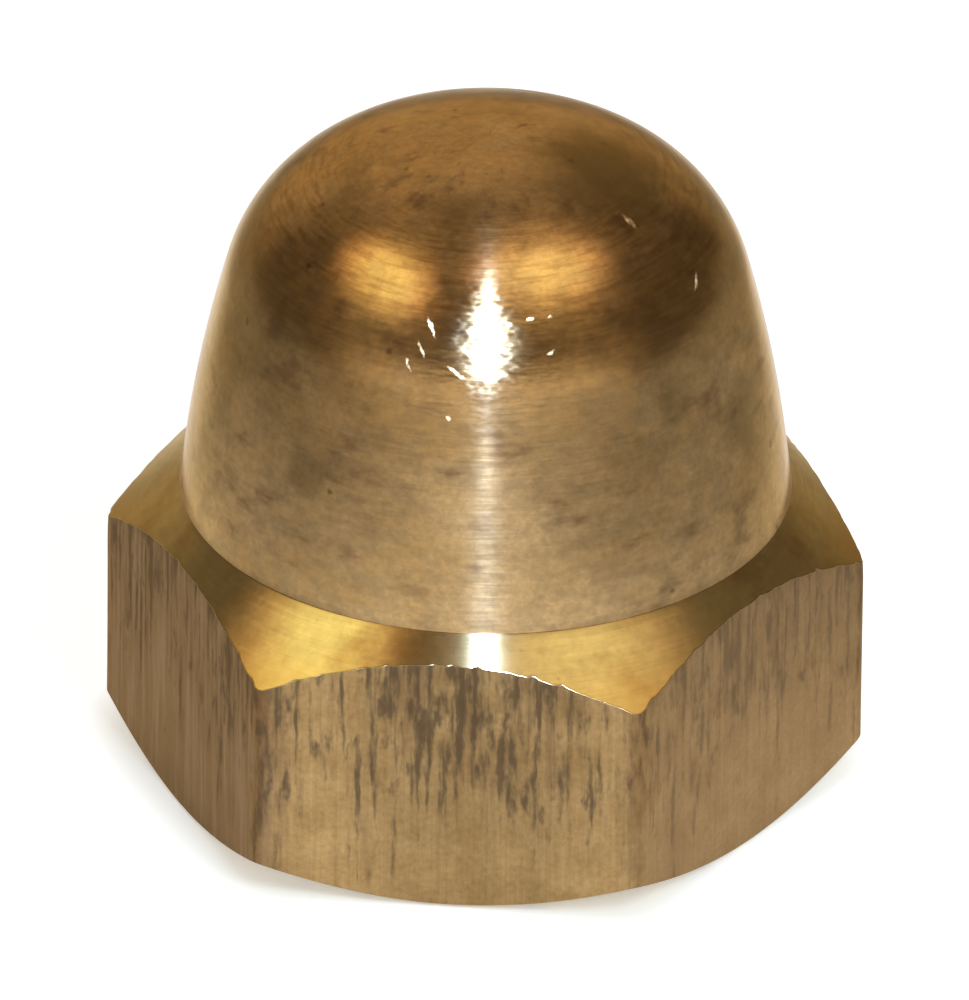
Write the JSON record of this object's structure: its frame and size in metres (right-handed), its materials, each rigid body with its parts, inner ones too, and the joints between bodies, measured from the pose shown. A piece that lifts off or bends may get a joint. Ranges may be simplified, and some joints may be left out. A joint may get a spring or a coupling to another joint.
{
  "type": "cap nut",
  "caption": "Brass cap nut: hexagon body with chamfered corners, tall domed cap and a blind tapped hole that covers and protects a stud's end.",
  "frame": {"origin": "centre of the seat face, at the mouth of the threaded hole", "axes": "+Z along the nut's axis, from the seat towards the dome; two flats face -Y and +Y, and two corners lie on the X axis"},
  "size_m": [0.0194, 0.017, 0.0178],
  "materials": {
    "brass": "turned and drawn bare brass, dulled by tarnish"
  },
  "bodies": {
    "root": {"cap_nut": "brass"}
  },
  "joints": []
}
